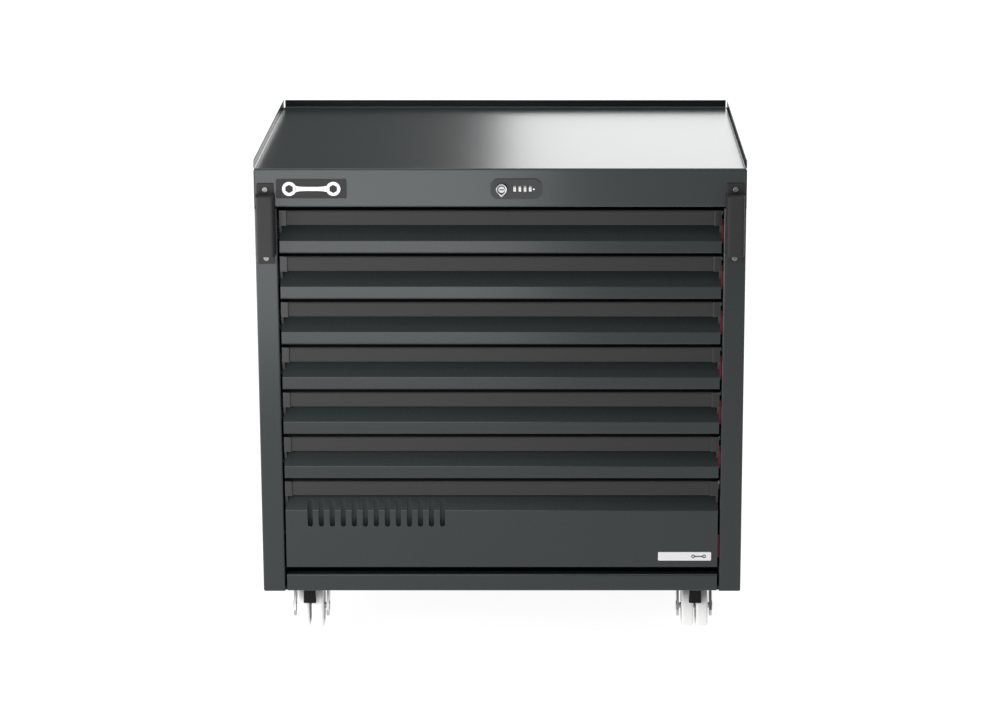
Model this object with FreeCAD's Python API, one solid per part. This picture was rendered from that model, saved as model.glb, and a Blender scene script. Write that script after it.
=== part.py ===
import FreeCAD, Part
import math
import os

# Rolling tool chest: sheet-metal body, seven drawers on telescopic slides, four twin-wheel casters.
# Millimetres. X runs left to right, Y from front to back, Z up. The origin is on the floor
# under the middle of the chest's own box.

# ---- body, which stands on the casters' plates
body_width = 845.0
body_depth = 615.0
column_width = 38.6
sheet = 1.2
bend = 2.0
side_bottom_flange = 25.0
side_top_flange = 15.0
rear_flange = 20.0
column_return = 25.0
column_overlap = 30.0

# ---- front, from the floor rail up to the worktop
rail_height = 31.0
rail_depth = 18.0
rail_gap = 12.4
big_front = 159.0
small_front = 75.9
small_count = 6
drawer_gap = 5.0
apron_gap = 5.6
apron_height = 67.6
apron_return = 15.0
column_seam = 2.6
side_gap = 3.5

# ---- worktop tray
lip_height = 13.8
lip_corner_gap = 2.0
apron_corner_gap = 0.5

# ---- base, back and posts
pan_thickness = 1.5
pan_rear_flange = 25.0
part_gap = 0.3
cutter_reach = 1.0
same_place = 0.000001
rib_count = 3
rib_half_width = 16.0
rib_slope = 8.0
rib_depth = 8.0
post_thickness = 1.5
post_width = 40.0
post_foot = 12.0
front_post_setback = 46.0
rear_post_setback = 20.0

# ---- drawer front and its handle strip
grip_height = 53.4
recess_depth = 22.0
recess_top = 14.0
front_return = 14.0
strip_height = 26.1
strip_thickness = 1.6
strip_hem = 4.0
cap_width = 13.4
cap_wall = 3.0
cap_ridge = 1.8
cap_ridge_slope = 1.4
cap_ridge_width = 2.0
cap_ridge_round = 0.6
gusset_drop = 14.0
gusset_width = 3.5

# ---- vents in the big drawer's front
vent_count = 13
vent_from_end = 42.9
vent_pitch = 19.42
vent_width = 9.5
vent_below_bend = 29.7
vent_above_bend = 17.7

# ---- drawer tray
tray_rear_clearance = 29.4
tray_lift = 8.0
tray_headroom = 10.0
tray_wall = 1.2
hem_height = 8.0
hem_thickness = 2.4
buffer_thickness = 2.9
buffer_setback = 3.0
buffer_depth = 18.0
buffer_bottom = 18.0
buffer_height = 42.0

# ---- telescopic slides
slide_thickness = 12.7
slide_height = 35.0
slide_lift = 8.5
slide_wall = 1.2
slide_inset = 2.0
slide_on_rear_post = 13.0
outer_flange = 9.0
ball_gap_outer = 3.2
ball_gap_inner = 2.6
middle_start = 2.0
middle_end = 10.6
middle_web = 5.6
inner_start = 7.4
retainer_width = 4.0
retainer_start = 3.0
retainer_spare = 80.0

# ---- lock on the apron
lock_left = -16.7
lock_plate_width = 87.2
lock_plate_height = 34.7
lock_above_apron = 14.9
lock_plate_thickness = 3.0
lock_chamfer = 8.5
lock_corner_radius = 2.0
lock_window_margin = 5.0
key_from_edge = 18.9
barrel_radius = 9.85
barrel_collar = 4.0
barrel_shank = 8.0
barrel_length = 22.0
nub_reach = 13.5
nub_radius = 2.5
plug_radius = 5.5
plug_clearance = 0.05
plug_proud = 0.6
keyway_width = 1.6
keyway_length = 8.0
keyway_depth = 3.0
cam_reach = 14.0
cam_half_width = 6.0
cam_thickness = 2.0
cam_gap = 0.3
code_from_key = 22.4
code_pitch = 8.85
code_count = 4
code_radius = 6.6
code_width = 4.4
code_proud = 0.6
code_window_clearance = 0.4
code_flats = 10
code_edge_radius = 1.0
code_pin_radius = 2.0
code_pin_clearance = 0.05

# ---- lock rod in the right-hand column
rod_behind_return = 2.5
rod_depth = 4.0
rod_width = 4.0
rod_from_post = 2.5
rod_arm_height = 8.0
finger_reach = 8.0
finger_height = 6.0
finger_engagement = 4.0
lock_travel = 12.0
rod_tab_gap = 2.4
rod_tab_half_width = 4.0
catch_behind_rod = 2.5
catch_depth = 4.0
catch_below_rim = 4.9
catch_height = 8.0
catch_gap = 1.0

# ---- trim on the front
badge_from_side = 38.2
badge_width = 120.8
badge_bottom = 15.8
badge_height = 33.5
badge_thickness = 1.5
badge_radius = 3.0
label_from_end = 10.8
label_width = 93.8
label_bottom = 13.4
label_height = 15.6
label_thickness = 1.0
label_radius = 2.0

# ---- corner bumpers
bumper_margin = 2.4
bumper_height = 141.6
bumper_above_seam = 42.3
bumper_proud = 25.0
bumper_draft = 2.6
bumper_front_radius = 3.5
bumper_head_tab = 19.6
bumper_foot_tab = 16.4
bumper_tab_inset = 2.0
bumper_tab_thickness = 3.0
bumper_tab_radius = 2.5
screw_inset = 10.6
screw_head_radius = 4.9
screw_head_height = 1.8
screw_head_round = 1.1
screw_shank_radius = 2.4
screw_recess_radius = 1.6
screw_recess_slot = 0.55
screw_recess_depth = 1.0

# ---- casters
caster_from_side = 78.3
caster_pivot_setback = 110.0
caster_trail = 30.0
rear_axle_setback = 85.0
wheel_radius = 38.0
wheel_width = 21.2
wheel_gap = 4.2
wheel_shoulder = 5.0
wheel_hub_radius = 13.0
wheel_dish = 3.0
wheel_rim_width = 12.0
axle_radius = 5.0
axle_clearance = 0.05
axle_head_radius = 8.0
axle_head = 1.2
fork_side_gap = 4.2
fork_wall = 4.0
crown_thickness = 3.0
crown_gap = 4.7
crown_front = 24.0
crown_back = 26.0
leg_end_radius = 13.5
leg_straight = 0.5
leg_below_axle = 18.0
leg_half_width = 17.0
plate_thickness = 3.5
plate_length = 84.0
plate_width = 72.0
plate_hole_radius = 4.25
plate_hole_inset = 10.0
plate_corner_radius = 8.0
race_radius = 24.0
race_clearance = 0.4
race_height = 6.0
bolt_head_radius = 6.5
bolt_head = 4.0
bolt_shank_radius = 4.0
pedal_width = 22.5
pedal_top_width = 20.6
pedal_thickness = 4.0
pedal_wheel_gap = 1.0
pedal_tip_round = 2.0
pedal_tip_below = 23.5
pedal_pin_radius = 2.0
pedal_pin_clearance = 0.05
pedal_barrel_radius = 3.6
pedal_hinge_gap = 4.0
pedal_hinge_below = 0.7
ear_width = 3.0
ear_gap = 0.4
ear_rise = 1.0
ear_on_crown = 2.0

# ---- places worked out from the sizes above
half_width = body_width / 2
total_depth = body_depth + bumper_proud
front_y = bumper_proud - total_depth / 2
rear_y = front_y + body_depth
crown_z = wheel_radius * 2 + crown_gap
plate_z = crown_z + crown_thickness + race_height
pan_z = plate_z + plate_thickness
underside_height = pan_z - sheet
small_stack = small_count * small_front + (small_count - 1) * drawer_gap
front_stack = rail_height + rail_gap + big_front + drawer_gap + small_stack
cabinet_height = front_stack + apron_gap + apron_height
top_z = underside_height + cabinet_height
apron_z = top_z - apron_height
column_top_z = apron_z - column_seam
rail_top_z = underside_height + rail_height
post_x = half_width - column_width
front_half = post_x - side_gap
outer_bend = bend + sheet
pan_top_z = pan_z + pan_thickness
under_top_z = top_z - sheet
tray_front_y = front_y + recess_depth + sheet
tray_half = post_x - slide_thickness
rib_face_y = rear_y - 2 * sheet - rib_depth
drawer_depth = rib_face_y - tray_rear_clearance - tray_front_y
slide_y = front_y + front_post_setback + slide_inset
rear_post_y = rear_y - rear_post_setback - post_width
slide_length = rear_post_y + slide_on_rear_post - slide_y
drawer_travel = slide_length
retainer_length = slide_length - drawer_travel / 2 - retainer_spare
slide_center = tray_lift + slide_lift + slide_height / 2
lock_z = apron_z + lock_above_apron + lock_plate_height / 2
lock_face_y = front_y - lock_plate_thickness
lock_right = lock_left + lock_plate_width
key_x = lock_left + key_from_edge
rod_y = front_y + column_return + rod_behind_return
catch_y = rod_y + rod_depth + catch_behind_rod
column_middle = half_width - column_width / 2
bumper_width = column_width - 2 * bumper_margin
bumper_z = apron_z + bumper_above_seam - bumper_height
caster_x = half_width - caster_from_side
fork_outer_width = 2 * (wheel_width + fork_side_gap + fork_wall) + wheel_gap
pedal_hinge_ahead = crown_front + pedal_hinge_gap
pedal_hinge_z = crown_z - pedal_hinge_below
pedal_reach = caster_trail + wheel_radius + pedal_wheel_gap + pedal_thickness - pedal_hinge_ahead
axle_y = front_y + caster_pivot_setback - caster_trail


def save(name, shape):
    shape.exportStep("parts/" + name + ".step")


def point(x, y, z):
    return FreeCAD.Vector(x, y, z)


def block(x0, x1, y0, y1, z0, z1):
    low = point(min(x0, x1), min(y0, y1), min(z0, z1))
    return Part.makeBox(abs(x1 - x0), abs(y1 - y0), abs(z1 - z0), low)


def rod_along(start, axis, radius, length):
    return Part.makeCylinder(radius, length, start, axis)


def mirrored(shape):
    return shape.mirror(point(0, 0, 0), point(1, 0, 0))


def joined(shapes):
    # one clean solid from overlapping shapes
    whole = shapes[0].fuse(shapes[1:])
    return whole.removeSplitter()


def corner_arc(before, corner, after, radius):
    # start, middle and end of the arc that rounds one corner
    to_before = (before - corner).normalize()
    to_after = (after - corner).normalize()
    half = to_before.getAngle(to_after) / 2
    setback = radius / math.tan(half)
    bisector = (to_before + to_after).normalize()
    middle = corner + bisector * (radius / math.sin(half) - radius)
    return corner + to_before * setback, middle, corner + to_after * setback


def outline(corners, radii):
    # a flat face with each corner rounded by its own radius
    edges = []
    first = None
    last = None
    count = len(corners)
    for index in range(count):
        before = corners[index - 1]
        corner = corners[index]
        after = corners[(index + 1) % count]
        if radii[index] > 0:
            start, middle, end = corner_arc(before, corner, after, radii[index])
        else:
            start, middle, end = corner, None, corner
        if last is not None and last.distanceToPoint(start) > same_place:
            edges.append(Part.LineSegment(last, start).toShape())
        if middle is not None:
            edges.append(Part.Arc(start, middle, end).toShape())
        if first is None:
            first = start
        last = end
    if last.distanceToPoint(first) > same_place:
        edges.append(Part.LineSegment(last, first).toShape())
    return Part.Face(Part.Wire(edges))


def prism(corners, radii, along):
    return outline(corners, radii).extrude(along)


def folded(path, thickness, side, plane_normal, along):
    # sheet that follows a path: side is 1 with the metal on the path's left, -1 on its right
    count = len(path)
    directions = [(path[i + 1] - path[i]).normalize() for i in range(count - 1)]
    lefts = [plane_normal.cross(way) * side for way in directions]
    far = [path[0] + lefts[0] * thickness]
    near_radii = [0]
    far_radii = [0]
    for i in range(1, count - 1):
        share = 1 + lefts[i - 1].dot(lefts[i])
        far.append(path[i] + (lefts[i - 1] + lefts[i]) * (thickness / share))
        turn = directions[i - 1].cross(directions[i]).dot(plane_normal) * side
        near_radii.append(bend + thickness if turn > 0 else bend)
        far_radii.append(bend if turn > 0 else bend + thickness)
    far.append(path[-1] + lefts[-1] * thickness)
    near_radii.append(0)
    far_radii.append(0)
    corners = path + far[::-1]
    radii = near_radii + far_radii[::-1]
    return prism(corners, radii, along)


def folded_plan(points, thickness, side, z0, z1):
    path = [point(x, y, z0) for x, y in points]
    return folded(path, thickness, side, point(0, 0, 1), point(0, 0, z1 - z0))


def folded_across(points, thickness, side, x0, x1):
    # the path is in (y, z), the sheet runs across the chest
    path = [point(x0, y, z) for y, z in points]
    return folded(path, thickness, side, point(1, 0, 0), point(x1 - x0, 0, 0))


def folded_deep(points, thickness, side, y0, y1):
    # the path is in (x, z), the sheet runs from front to back
    path = [point(x, y0, z) for x, z in points]
    return folded(path, thickness, side, point(0, -1, 0), point(0, y1 - y0, 0))


def rounded_plate(x0, x1, z0, z1, y0, y1, radius):
    corners = [point(x0, y0, z0), point(x1, y0, z0), point(x1, y0, z1), point(x0, y0, z1)]
    return prism(corners, [radius] * 4, point(0, y1 - y0, 0))


def drawer_bottoms():
    # floor height of each drawer front's lower edge, top drawer first
    bottoms = []
    level = apron_z - apron_gap
    for index in range(small_count):
        level = level - small_front
        bottoms.append(level)
        level = level - drawer_gap
    bottoms.append(level - big_front)
    return bottoms


def drawer_heights():
    return [small_front] * small_count + [big_front]


def catch_bottoms():
    # floor height of each drawer's lock catch, top drawer first
    below_top = tray_headroom + catch_below_rim + catch_height
    return [low + height - below_top for low, height in zip(drawer_bottoms(), drawer_heights())]


# ---- shell

def side_panel():
    # side wall with flanges, the front column folded round it, and the rear flange
    wall = folded_deep([(half_width - side_bottom_flange, underside_height),
                        (half_width, underside_height),
                        (half_width, under_top_z),
                        (half_width - side_top_flange, under_top_z)],
                       sheet, 1, front_y + outer_bend, rear_y - outer_bend)
    column = folded_plan([(post_x, front_y + column_return),
                          (post_x, front_y),
                          (half_width, front_y),
                          (half_width, front_y + column_overlap)],
                         sheet, 1, underside_height, column_top_z)
    back = folded_plan([(half_width, rear_y - column_overlap),
                        (half_width, rear_y),
                        (half_width - rear_flange, rear_y)],
                       sheet, 1, underside_height, under_top_z)
    cheek = block(half_width - sheet, half_width, front_y + apron_corner_gap, front_y + 2 * outer_bend,
                  column_top_z, under_top_z)
    inside = [point(0, front_y, underside_height), point(half_width, front_y, underside_height),
              point(half_width, front_y, under_top_z), point(0, front_y, under_top_z)]
    envelope = prism(inside, [0, outer_bend, outer_bend, 0], point(0, body_depth, 0))
    return joined([wall, column, back, cheek]).common(envelope)


def back_panel():
    # flat sheet inside the rear flanges, with pressed vertical ribs
    face_y = rear_y - sheet
    edge = half_width - outer_bend
    points = [(edge, face_y)]
    for index in range(rib_count):
        middle = edge - (index + 1) * 2 * edge / (rib_count + 1)
        points.append((middle + rib_half_width + rib_slope, face_y))
        points.append((middle + rib_half_width, face_y - rib_depth))
        points.append((middle - rib_half_width, face_y - rib_depth))
        points.append((middle - rib_half_width - rib_slope, face_y))
    points.append((-edge, face_y))
    return folded_plan(points, sheet, 1, pan_top_z, under_top_z)


def base_pan():
    # floor of the body, turned up behind, resting on the side flanges and the rail
    edge = half_width - outer_bend
    rear = rib_face_y - part_gap
    pan = folded_across([(front_y + outer_bend, pan_z), (rear, pan_z), (rear, pan_z + pan_rear_flange)],
                        pan_thickness, 1, -edge, edge)
    notch_y = front_y + column_return + part_gap
    notch = block(post_x - part_gap, half_width, front_y, notch_y, underside_height, rail_top_z)
    return pan.cut([notch, mirrored(notch)])


def bottom_rail():
    return folded_across([(front_y + rail_depth, rail_top_z), (front_y, rail_top_z),
                          (front_y, underside_height), (front_y + rail_depth, underside_height)],
                         sheet, 1, -front_half, front_half)


def worktop():
    # tray with three raised lips and a front apron
    lip_z = top_z + lip_height
    side_end = rear_y - lip_corner_gap - sheet
    tray = folded_deep([(-half_width, lip_z), (-half_width, under_top_z),
                        (half_width, under_top_z), (half_width, lip_z)],
                       sheet, 1, front_y + outer_bend, side_end)
    rear_edge = half_width - lip_corner_gap - sheet
    rear = folded_across([(side_end - column_overlap, under_top_z), (rear_y, under_top_z), (rear_y, lip_z)],
                         sheet, 1, -rear_edge, rear_edge)
    apron_half = half_width - sheet - apron_corner_gap
    apron = folded_across([(front_y + apron_return, apron_z), (front_y, apron_z),
                           (front_y, top_z), (front_y + column_overlap, top_z)],
                          sheet, -1, -apron_half, apron_half)
    whole = joined([tray, rear, apron])
    start = front_y + outer_bend
    nose = [point(-body_width, start, lip_z - lip_height / 2), point(-body_width, start, lip_z + sheet),
            point(-body_width, start + lip_height / 2, lip_z + sheet)]
    whole = whole.cut(prism(nose, [0, 0, 0], point(2 * body_width, 0, 0)))
    return whole.cut(lock_cutout())


def lock_cutout():
    # opening in the apron behind the lock plate
    low = lock_z - lock_plate_height / 2 + lock_window_margin
    high = lock_z + lock_plate_height / 2 - lock_window_margin
    return block(lock_left + lock_window_margin, lock_right - lock_window_margin,
                 front_y - cutter_reach, front_y + sheet + cutter_reach, low, high)


def slide_posts():
    # four upright hat channels that carry the slides
    foot_x = half_width - sheet - post_thickness
    foot_z = underside_height + outer_bend
    posts = []
    for start in [front_y + front_post_setback, rear_post_y]:
        end = start + post_width
        hat = folded_plan([(foot_x, start - post_foot), (foot_x, start), (post_x, start),
                           (post_x, end), (foot_x, end), (foot_x, end + post_foot)],
                          post_thickness, -1, foot_z, column_top_z)
        posts.append(hat)
        posts.append(mirrored(hat))
    return Part.makeCompound(posts)


# ---- slides

def slide_channel(start, end, half_height, y0, y1, z):
    # C channel open towards the drawer: start is the web's distance from the post
    web = block(post_x - start - slide_wall, post_x - start, y0, y1, z - half_height, z + half_height)
    top = block(post_x - end, post_x - start, y0, y1, z + half_height - slide_wall, z + half_height)
    low = block(post_x - end, post_x - start, y0, y1, z - half_height, z - half_height + slide_wall)
    return joined([web, top, low])


def fixed_slides():
    members = []
    for bottom in drawer_bottoms():
        z = bottom + slide_center
        member = slide_channel(0, outer_flange, slide_height / 2, slide_y, slide_y + slide_length, z)
        members.append(member)
        members.append(mirrored(member))
    return Part.makeCompound(members)


def middle_half_height():
    return slide_height / 2 - slide_wall - ball_gap_outer


def middle_slides(bottom):
    # H section between the fixed and the drawer member, with the upper and lower ball retainers
    z = bottom + slide_center
    half = middle_half_height()
    y0 = slide_y
    y1 = slide_y + slide_length
    web = block(post_x - middle_web - slide_wall, post_x - middle_web, y0, y1, z - half, z + half)
    top = block(post_x - middle_end, post_x - middle_start, y0, y1, z + half - slide_wall, z + half)
    low = block(post_x - middle_end, post_x - middle_start, y0, y1, z - half, z - half + slide_wall)
    member = joined([web, top, low])
    pieces = [member]
    back = y1 - retainer_length
    near = post_x - retainer_start
    reach = ball_gap_outer - part_gap
    pieces.append(block(near - retainer_width, near, back, y1, z + half, z + half + reach))
    pieces.append(block(near - retainer_width, near, back, y1, z - half - reach, z - half))
    return Part.makeCompound(pieces + [mirrored(piece) for piece in pieces])


def drawer_slide(bottom):
    # the member that is riveted to the drawer's side
    z = bottom + slide_center
    half = middle_half_height() - slide_wall - ball_gap_inner
    y0 = slide_y
    y1 = slide_y + slide_length
    web = block(tray_half, tray_half + slide_wall, y0, y1, z - half, z + half)
    top = block(tray_half, post_x - inner_start, y0, y1, z + half - slide_wall, z + half)
    low = block(tray_half, post_x - inner_start, y0, y1, z - half, z - half + slide_wall)
    return joined([web, top, low])


# ---- drawers

def drawer_tray(bottom, height):
    # open tray with a thicker hem round its rim, and the steel catch spot-welded to its right side
    z0 = bottom + tray_lift
    z1 = bottom + height - tray_headroom
    y1 = tray_front_y + drawer_depth
    shell = block(-tray_half, tray_half, tray_front_y, y1, z0, z1)
    inner = block(-tray_half + tray_wall, tray_half - tray_wall, tray_front_y + tray_wall, y1 - tray_wall,
                  z0 + tray_wall, z1 - hem_height)
    mouth = block(-tray_half + hem_thickness, tray_half - hem_thickness, tray_front_y + hem_thickness,
                  y1 - hem_thickness, z0 + tray_wall, z1 + cutter_reach)
    catch_z = z1 - catch_below_rim - catch_height
    catch = block(tray_half, post_x - catch_gap, catch_y, catch_y + catch_depth,
                  catch_z, catch_z + catch_height)
    return [shell.cut(inner).cut(mouth), catch]


def side_buffer(bottom):
    # plastic buffer on the right-hand end of the drawer front
    y0 = front_y + buffer_setback
    z0 = bottom + buffer_bottom
    return block(front_half, front_half + buffer_thickness, y0, y0 + buffer_depth, z0, z0 + buffer_height)


def drawer_box(bottom, height):
    member = drawer_slide(bottom)
    fittings = [member, mirrored(member), side_buffer(bottom)]
    return Part.makeCompound(drawer_tray(bottom, height) + fittings)


def front_profile(bottom, height):
    # outer surface of the drawer front in (y, z): flat face, then a slope back behind the handle strip
    top = bottom + height
    recess_y = front_y + recess_depth
    shelf_z = top - strip_thickness - sheet
    return [(front_y + front_return, bottom), (front_y, bottom), (front_y, top - grip_height),
            (recess_y, top - recess_top), (recess_y, shelf_z), (front_y + strip_hem, shelf_z)]


def drawer_front(bottom, height):
    profile = front_profile(bottom, height)
    face = folded_across(profile, sheet, -1, -front_half, front_half)
    cheek = [point(front_half - sheet, y, z) for y, z in profile[1:5]]
    back_y = tray_front_y
    cheek.append(point(front_half - sheet, back_y, profile[4][1]))
    cheek.append(point(front_half - sheet, back_y, bottom))
    radii = [outer_bend, outer_bend, 0, 0, 0, 0]
    side = prism(cheek, radii, point(sheet, 0, 0))
    return joined([face, side, mirrored(side)])


def vent_cutter(bottom, index):
    # slot with round ends across the bend line, cut straight back through the drawer front
    x = vent_from_end - front_half + index * vent_pitch
    half = vent_width / 2
    start_y = front_y - cutter_reach
    depth = tray_front_y - part_gap - start_y
    bend_z = bottom + big_front - grip_height
    low = bend_z - vent_below_bend + half
    high = bend_z + vent_above_bend - half
    pieces = [block(x - half, x + half, start_y, start_y + depth, low, high)]
    for z in [low, high]:
        pieces.append(rod_along(point(x, start_y, z), point(0, 1, 0), half, depth))
    return joined(pieces)


def handle_strip(bottom, height):
    top = bottom + height
    low = top - strip_height
    half = front_half - cap_width
    back_y = tray_front_y
    return folded_across([(front_y + strip_hem, low), (front_y, low), (front_y, top), (back_y, top)],
                         strip_thickness, -1, -half, half)


def end_cap(bottom, height):
    # moulded cap over the strip's right-hand end: ridged front, side wall, top and a gusset below
    top = bottom + height
    low = top - strip_height
    inner = front_half - cap_width
    ridge_y = front_y - cap_ridge
    wall_y = front_y + cap_wall
    plan = [point(inner, wall_y, low), point(inner, front_y, low),
            point(inner + cap_ridge_slope, ridge_y, low),
            point(inner + cap_ridge_slope + cap_ridge_width, ridge_y, low),
            point(front_half, front_y, low), point(front_half, wall_y, low)]
    face = prism(plan, [0, 0, cap_ridge_round, cap_ridge_round, 0, 0], point(0, 0, strip_height))
    cover = block(inner, front_half, wall_y - cutter_reach, tray_front_y, top - strip_thickness, top)
    slope_run = recess_depth / (grip_height - recess_top)
    rise = grip_height - strip_height - gusset_drop
    foot_y = front_y + rise * slope_run
    shelf_z = top - strip_thickness - sheet
    meet_y = front_y + (grip_height - strip_height) * slope_run
    side_x = front_half - gusset_width
    gusset = prism([point(side_x, wall_y - cutter_reach, shelf_z), point(side_x, wall_y - cutter_reach, low),
                    point(side_x, foot_y, low - gusset_drop), point(side_x, meet_y, low),
                    point(side_x, front_y + recess_depth, top - recess_top),
                    point(side_x, front_y + recess_depth, shelf_z)],
                   [0] * 6, point(gusset_width, 0, 0))
    return joined([face, cover, gusset]).cut(drawer_front(bottom, height))


def drawer_handle(bottom, height):
    cap = end_cap(bottom, height)
    return Part.makeCompound([handle_strip(bottom, height), cap, mirrored(cap)])


# ---- lock

def lock_plate():
    # plate with chamfered ends, four windows for the code wheels, and the pin they turn on
    z0 = lock_z - lock_plate_height / 2
    z1 = lock_z + lock_plate_height / 2
    left = lock_left + lock_chamfer
    right = lock_right - lock_chamfer
    low = z0 + lock_chamfer
    high = z1 - lock_chamfer
    around = [(left, z0), (right, z0), (lock_right, low), (lock_right, high),
              (right, z1), (left, z1), (lock_left, high), (lock_left, low)]
    corners = [point(x, lock_face_y, z) for x, z in around]
    plate = prism(corners, [lock_corner_radius] * 8, point(0, lock_plate_thickness, 0))
    hole = rod_along(point(key_x, lock_face_y - cutter_reach, lock_z), point(0, 1, 0),
                     barrel_shank + part_gap, lock_plate_thickness + 2 * cutter_reach)
    plate = plate.cut(hole)
    half = code_width / 2 + part_gap
    behind = code_axis_y() - front_y
    window = math.sqrt(code_radius ** 2 - behind ** 2) + code_window_clearance
    for index in range(code_count):
        x = code_x(index)
        plate = plate.cut(block(x - half, x + half, lock_face_y - cutter_reach, front_y + cutter_reach,
                                lock_z - window, lock_z + window))
    return Part.makeCompound([plate, code_bracket()])


def code_x(index):
    return key_x + code_from_key + index * code_pitch


def code_axis_y():
    return lock_face_y - code_proud + code_radius


def code_bracket():
    # two ears behind the plate with the code wheels' pin across them
    reach = code_width / 2 + ear_width / 2
    x0 = code_x(0) - reach
    x1 = code_x(code_count - 1) + reach
    ears = []
    for x in [x0, x1]:
        ears.append(block(x - ear_width / 2 + part_gap, x + ear_width / 2 - part_gap, front_y,
                          code_axis_y() + 2 * code_pin_radius,
                          lock_z - code_radius / 2, lock_z + code_radius / 2))
    pin = rod_along(point(x0, code_axis_y(), lock_z), point(1, 0, 0), code_pin_radius, x1 - x0)
    return joined(ears + [pin])


def code_wheel(index):
    # number wheel with one flat for each digit round its rim
    x = code_x(index)
    corners = []
    for step in range(code_flats):
        angle = 2 * math.pi * (step + 0.5) / code_flats
        corners.append(point(x - code_width / 2, code_axis_y() + code_radius * math.cos(angle),
                             lock_z + code_radius * math.sin(angle)))
    wheel = prism(corners, [code_edge_radius] * code_flats, point(code_width, 0, 0))
    bore = rod_along(point(x - code_width, code_axis_y(), lock_z), point(1, 0, 0),
                     code_pin_radius + code_pin_clearance, 2 * code_width)
    return wheel.cut(bore)


def lock_barrel():
    # fixed chrome barrel: pear-shaped collar in front of the plate, shank through it
    collar_y = lock_face_y - barrel_collar
    spread = math.acos((barrel_radius - nub_radius) / nub_reach)
    across = math.sin(spread)
    down = math.cos(spread)
    disc = rod_along(point(key_x, collar_y, lock_z), point(0, 1, 0), barrel_radius, barrel_collar)
    tip_z = lock_z - nub_reach + nub_radius
    reach = tip_z - lock_z
    nub = rod_along(point(key_x, collar_y, tip_z), point(0, 1, 0), nub_radius, barrel_collar)
    web = prism([point(key_x - barrel_radius * across, collar_y, lock_z - barrel_radius * down),
                 point(key_x - nub_radius * across, collar_y, lock_z + reach - nub_radius * down),
                 point(key_x + nub_radius * across, collar_y, lock_z + reach - nub_radius * down),
                 point(key_x + barrel_radius * across, collar_y, lock_z - barrel_radius * down)],
                [0] * 4, point(0, barrel_collar, 0))
    shank = rod_along(point(key_x, collar_y, lock_z), point(0, 1, 0), barrel_shank,
                      barrel_collar + lock_plate_thickness + barrel_length)
    bore = rod_along(point(key_x, collar_y - cutter_reach, lock_z), point(0, 1, 0),
                     plug_radius + plug_clearance,
                     barrel_collar + lock_plate_thickness + barrel_length + 2 * cutter_reach)
    return joined([disc, nub, web, shank]).cut(bore)


def key_plug():
    # turning plug with its keyway, and the cam on its inner end
    start_y = lock_face_y - barrel_collar - plug_proud
    cam_y = front_y + barrel_length + cam_gap
    plug = rod_along(point(key_x, start_y, lock_z), point(0, 1, 0), plug_radius, cam_y - start_y)
    half = keyway_length / 2
    keyway = block(key_x - half, key_x + half, start_y - cutter_reach, start_y + keyway_depth,
                   lock_z - keyway_width / 2, lock_z + keyway_width / 2)
    cam = block(key_x - cam_half_width, key_x + cam_reach, cam_y, cam_y + cam_thickness,
                lock_z - cam_half_width, lock_z + cam_half_width)
    return Part.makeCompound([plug.cut(keyway), cam])


def lock_rod():
    # weldment: arm from the cam's tab to the column, upright bar there, a finger above each drawer's catch
    y1 = rod_y + rod_depth
    x0 = post_x + rod_from_post
    x1 = x0 + rod_width
    arm_top = lock_z - cam_half_width - rod_tab_gap
    arm_low = arm_top - rod_arm_height
    tab_left = key_x - rod_tab_half_width
    tab_right = key_x + rod_tab_half_width
    cam_y = front_y + barrel_length + cam_gap
    rise = catch_height + lock_travel - finger_height - finger_engagement
    fingers = [z + rise for z in catch_bottoms()]
    pieces = [block(x0, x1, rod_y, y1, fingers[-1], arm_low)]
    pieces.append(block(tab_left, x1, rod_y, y1, arm_low, arm_top))
    pieces.append(block(tab_left, tab_right, cam_y, rod_y, arm_low, arm_top))
    for z in fingers:
        pieces.append(block(post_x - finger_reach, x0, rod_y, y1, z, z + finger_height))
    return Part.makeCompound(pieces)


# ---- trim

def badge_plate():
    left = badge_from_side - half_width
    z0 = apron_z + badge_bottom
    return rounded_plate(left, left + badge_width, z0, z0 + badge_height,
                         front_y - badge_thickness, front_y, badge_radius)


def label_plate():
    right = front_half - label_from_end
    z0 = drawer_bottoms()[-1] + label_bottom
    return rounded_plate(right - label_width, right, z0, z0 + label_height,
                         front_y - label_thickness, front_y, label_radius)


def bumper_screw_heights():
    return [bumper_z + screw_inset, bumper_z + bumper_height - screw_inset]


def corner_bumper():
    # raised rubber block between two thin tabs, on the right-hand column
    half = bumper_width / 2
    tab_half = half - bumper_tab_inset
    z0 = bumper_z + bumper_foot_tab
    nose = half - bumper_draft
    nose_y = front_y - bumper_proud
    corners = [point(column_middle - half, front_y, z0), point(column_middle - nose, nose_y, z0),
               point(column_middle + nose, nose_y, z0), point(column_middle + half, front_y, z0)]
    rounds = [0, bumper_front_radius, bumper_front_radius, 0]
    block_height = bumper_height - bumper_foot_tab - bumper_head_tab
    middle = prism(corners, rounds, point(0, 0, block_height))
    tabs = rounded_plate(column_middle - tab_half, column_middle + tab_half, bumper_z,
                         bumper_z + bumper_height, front_y - bumper_tab_thickness, front_y,
                         bumper_tab_radius)
    whole = joined([middle, tabs])
    for z in bumper_screw_heights():
        hole = rod_along(point(column_middle, front_y - bumper_tab_thickness - cutter_reach, z),
                         point(0, 1, 0), screw_shank_radius + part_gap,
                         bumper_tab_thickness + 2 * cutter_reach)
        whole = whole.cut(hole)
    return whole


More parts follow.
